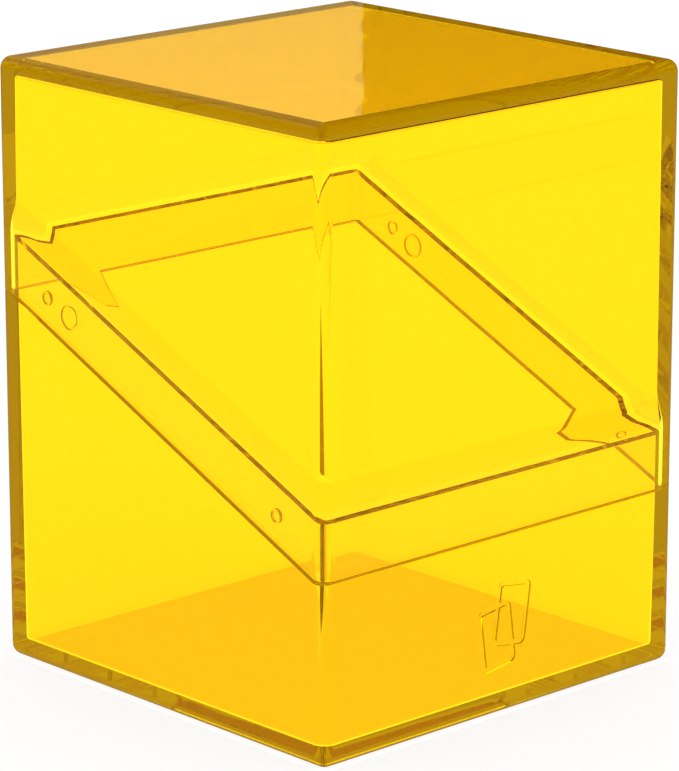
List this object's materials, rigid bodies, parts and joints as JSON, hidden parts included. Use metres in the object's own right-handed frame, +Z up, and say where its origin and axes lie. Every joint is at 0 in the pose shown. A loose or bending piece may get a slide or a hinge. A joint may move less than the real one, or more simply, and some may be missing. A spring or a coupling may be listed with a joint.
{
  "type": "card deck box",
  "caption": "Rectangular clear plastic box with a lift-off lid on a slanted seam, for a deck of sleeved trading cards.",
  "frame": {"origin": "centre of the bottom face, which the box stands on", "axes": "+Z up, -Y the front with the low seam, +X the width of the box"},
  "size_m": [0.076, 0.075, 0.098],
  "materials": {
    "clear_yellow_base": "glossy transparent yellow plastic",
    "clear_yellow_lid": "glossy transparent yellow plastic"
  },
  "bodies": {
    "base": {"base": "clear_yellow_base"},
    "lid": {"lid": "clear_yellow_lid"}
  },
  "joints": [
    {"name": "lid_lift", "type": "slide", "parent": "base", "child": "lid", "axis": [0, 0, 1], "range_m": [0, 0.07]}
  ]
}
